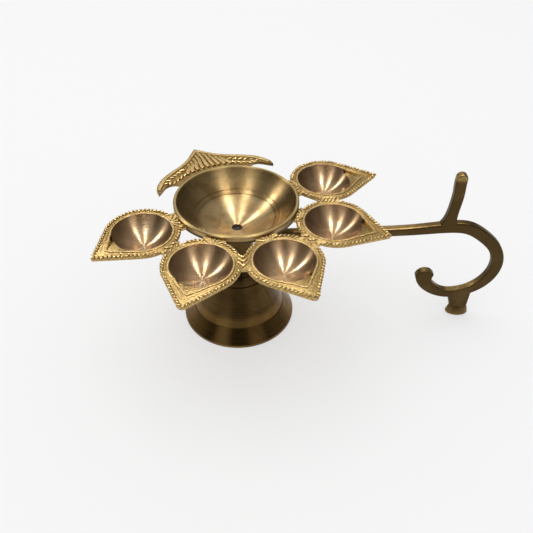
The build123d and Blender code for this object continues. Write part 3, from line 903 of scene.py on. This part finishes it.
# Lower row: gap from the inner edge, turn off the arm, size, and the field's depth that it needs
LOWER_GAP = 1.7
LOWER_TURN = 24
LOWER_SIZE = 0.95
LOWER_ROOM = 6.5


def crest_line(points, radius, widths, flat):
    """Raised line on the crest along points given sideways and outwards."""
    return strand([plan_point(CREST_TURN, out, side, crest_z) for side, out in points], radius, widths, flat)


def crest_border():
    """Plain raised edge from the apex down both arms, running out into the hooks."""
    made = []
    for way in (-1, 1):
        edge = [(side * way, out) for side, out in CREST_EDGE]
        made.append(crest_line(edge, CREST_EDGE_RADIUS, CREST_EDGE_WIDTHS, CREST_EDGE_FLAT))
    finish_mesh(join(made), "crest_border", crest_metal)


def crest_edge(side):
    """How far out the crest's raised edge lies, at a distance sideways from the middle line."""
    for (near, near_out), (far, far_out) in zip(CREST_EDGE, CREST_EDGE[1:]):
        if near <= abs(side) <= far:
            return near_out + (far_out - near_out) * (abs(side) - near) / (far - near)
    return CREST_EDGE[-1][1]


def field_foot(side):
    """How far out the crest's field ends above the bowl's rim, at a distance sideways."""
    return math.sqrt(FLUTE_FOOT ** 2 - side ** 2)


def crest_flutes():
    """Feather flutes that spread from the raised edge down to the bowl's rim, each with a rounded end."""
    made = []
    for step in range(-FLUTES_ASIDE, FLUTES_ASIDE + 1):
        head = FLUTE_HEAD_STEP * step
        foot = FLUTE_FOOT_STEP * step
        top = crest_edge(head) - FLUTE_GAP
        fall = field_foot(foot) - top
        points = [(head, top)]
        for start, (aside, share) in ((head, FLUTE_UPPER_BEND), (foot, FLUTE_LOWER_BEND)):
            points.append((start + aside, top + fall * share))
        points.append((foot, field_foot(foot)))
        made.append(crest_line(points, FLUTE_RADIUS, FLUTE_WIDTHS, FLUTE_FLAT))
    finish_mesh(join(made), "crest_flutes", crest_metal)


def crest_sprays():
    """Slanting cast leaves in both arms: a row under the raised edge and a row above the bowl's rim."""
    spots = []
    for way in (-1, 1):
        arm = CREST_TURN + way * (90 + ARM_SLOPE)
        for step in range(SPRAY_LEAVES):
            side = SPRAY_START + SPRAY_STEP * step
            edge = crest_edge(side)
            inner = field_foot(side) if side < HOOK_START else HOOK_INNER
            rows = [(edge - UPPER_GAP, UPPER_TURN, 1.0 - UPPER_SHRINK * step)]
            if edge - inner > LOWER_ROOM:
                rows.append((inner + LOWER_GAP, LOWER_TURN, LOWER_SIZE))
            for out, turn, size in rows:
                point = plan_point(CREST_TURN, out, way * side, crest_z)
                size *= draw.uniform(*SPRAY_SIZE_VARIES)
                spots.append(place(point, math.radians(arm + way * turn), scale=(size, size, size)))
    finish_mesh(copies(pebble(*SPRAY_LEAF), spots), "crest_sprays", crest_metal)


crest_border()
crest_flutes()
crest_sprays()


# Stage, light and camera

# Floor and backdrop: their white, the floor's own share of it, and the floor's side in metres
PALE = 0.93
PALE_COLOUR = (PALE, PALE, PALE, 1)
FLOOR_OWN = 0.55
FLOOR_SIDE = 30.0
FLOOR_ROUGHNESS = 0.9
# Even light on all that isn't a mirror
AMBIENT = 0.88
# Ceiling that metal mirrors, by the parts of a direction: overhead, behind the lamp, and less to the sides
OVERHEAD_SPAN = (0.25, 0.66)
BEHIND_SPAN = (-0.8, -0.05)
BEHIND_GLOW = (0.07, 1.0)
ASIDE_SPAN = (0.2, 0.6)
ASIDE_GLOW = (1.0, 0.2)
# Tall soft panels that metal mirrors: bearing and half width in degrees, and strength
PANELS = ((-122, 8, 0.36), (-52, 12, 0.3), (-178, 20, 0.14), (-2, 20, 0.12))
PANEL_EDGE = 0.05
ROOM_GLOW = 0.03
# Lamps in metres and watts: where they aim, the soft box, and the small ceiling lamps
LAMP_AIM = (0.0, -0.02, 0.075)
SOFT_BOX_PLACE = (-0.2, 0.3, 1.3)
SOFT_BOX_SIDE = 1.2
SOFT_BOX_POWER = 3.2
CEILING_LAMPS = (
    ("ceiling_right", (0.21, 0.014, 1.1), 3.7),
    ("ceiling_middle", (-0.21, 0.03, 1.1), 3.3),
    ("ceiling_left", (-0.85, 0.49, 1.0), 6.4),
)
CEILING_LAMP_SIDE = 0.035


def make_floor():
    """Pale floor that keeps the lamp's shadow."""
    bpy.ops.object.select_all(action="DESELECT")
    bpy.ops.mesh.primitive_plane_add(size=FLOOR_SIDE)
    floor = bpy.context.object
    floor.name = "floor"
    material = bpy.data.materials.new("pale_floor")
    material.use_nodes = True
    tree = material.node_tree
    shader = tree.nodes["Principled BSDF"]
    shader.inputs["Base Color"].default_value = PALE_COLOUR
    shader.inputs["Roughness"].default_value = FLOOR_ROUGHNESS
    # A share of the floor's white is its own, so that the shadow stays pale
    ray = add_node(tree, "ShaderNodeLightPath").outputs
    seen = sums(tree, "MAXIMUM", ray["Is Camera Ray"], ray["Is Glossy Ray"])
    seen = sums(tree, "MAXIMUM", seen, ray["Is Transmission Ray"])
    own = add_node(tree, "ShaderNodeEmission", {"Color": PALE_COLOUR, "Strength": 1.0})
    share = sums(tree, "MULTIPLY", seen, FLOOR_OWN)
    mixed = add_node(tree, "ShaderNodeMixShader", {0: share, 1: shader.outputs[0], 2: own.outputs[0]})
    tree.links.new(mixed.outputs[0], tree.nodes["Material Output"].inputs["Surface"])
    floor.data.materials.append(material)


def make_world():
    """White to the camera and behind the lamp, and a dim studio on the camera's side."""
    world = bpy.data.worlds.new("studio")
    bpy.context.scene.world = world
    world.use_nodes = True
    tree = world.node_tree
    tree.nodes.clear()
    ray = add_node(tree, "ShaderNodeLightPath").outputs
    way = add_node(tree, "ShaderNodeTexCoord").outputs["Generated"]
    parts = add_node(tree, "ShaderNodeSeparateXYZ", {0: way}).outputs
    # Bright overhead and behind, and dark low down all round, as in a room lit from its ceiling
    behind = ramp(tree, parts["Y"], BEHIND_SPAN, BEHIND_GLOW)
    aside = ramp(tree, sums(tree, "ABSOLUTE", parts["X"]), ASIDE_SPAN, ASIDE_GLOW)
    ceiling = sums(tree, "MULTIPLY", ramp(tree, parts["Z"], OVERHEAD_SPAN), behind)
    ceiling = sums(tree, "MULTIPLY", ceiling, aside)
    # Panels on the camera's side, which the foot and the bowl reflect as upright streaks
    level = vector_sums(tree, "NORMALIZE", vector_sums(tree, "MULTIPLY", way, LEVEL))
    panels = ROOM_GLOW
    for bearing, width, strength in PANELS:
        near = vector_sums(tree, "DOT_PRODUCT", level, tuple(polar(1, bearing)))
        edge = math.cos(math.radians(width))
        span = (edge - PANEL_EDGE, min(edge + PANEL_EDGE, 1.0))
        panels = sums(tree, "ADD", ramp(tree, near, span, (0.0, strength)), panels)
    mirrored = sums(tree, "MAXIMUM", panels, sums(tree, "MULTIPLY", ceiling, PALE))
    shine = sums(tree, "MULTIPLY", ray["Is Glossy Ray"], mirrored)
    even = sums(tree, "MULTIPLY", sums(tree, "SUBTRACT", 1.0, ray["Is Glossy Ray"]), AMBIENT)
    glow = sums(tree, "ADD", shine, even)
    seen = sums(tree, "MAXIMUM", ray["Is Camera Ray"], ray["Is Transmission Ray"])
    studio = add_node(tree, "ShaderNodeBackground", {"Color": (1, 1, 1, 1), "Strength": glow})
    backdrop = add_node(tree, "ShaderNodeBackground", {"Color": PALE_COLOUR, "Strength": 1.0})
    mixed = add_node(tree, "ShaderNodeMixShader", {0: seen, 1: studio.outputs[0], 2: backdrop.outputs[0]})
    put = add_node(tree, "ShaderNodeOutputWorld")
    tree.links.new(mixed.outputs[0], put.inputs["Surface"])


def add_lamp(name, spot, side, watts):
    """Square area lamp turned to the brass lamp."""
    light = bpy.data.lights.new(name, "AREA")
    light.shape = "SQUARE"
    light.size = side
    light.energy = watts
    lamp = bpy.data.objects.new(name, light)
    bpy.context.scene.collection.objects.link(lamp)
    lamp.location = spot
    lamp.rotation_mode = "QUATERNION"
    lamp.rotation_quaternion = (Vector(LAMP_AIM) - Vector(spot)).to_track_quat("-Z", "Y")
    return lamp


def make_camera():
    """Camera at the photograph's place and angle."""
    lens = bpy.data.cameras.new("camera")
    lens.sensor_width = SENSOR
    lens.lens = FOCAL_PIXELS / PICTURE_SIDE * SENSOR
    lens.clip_start = NEAREST_SEEN * MM
    camera = bpy.data.objects.new("camera", lens)
    bpy.context.scene.collection.objects.link(camera)
    spot = Matrix.Translation([part * MM for part in CAMERA_PLACE])
    tilt = Matrix.Rotation(math.radians(90 - CAMERA_TILT), 4, "X")
    camera.matrix_world = spot @ tilt @ Matrix.Rotation(math.radians(CAMERA_ROLL), 4, "Z")
    bpy.context.scene.camera = camera


make_floor()
make_world()
add_lamp("soft_box", SOFT_BOX_PLACE, SOFT_BOX_SIDE, SOFT_BOX_POWER).visible_glossy = False
# The small ceiling lamps only draw the streaks in the turned brass
for lamp_name, lamp_place, lamp_power in CEILING_LAMPS:
    add_lamp(lamp_name, lamp_place, CEILING_LAMP_SIDE, lamp_power).visible_diffuse = False
make_camera()
bpy.context.scene.view_settings.view_transform = "Standard"
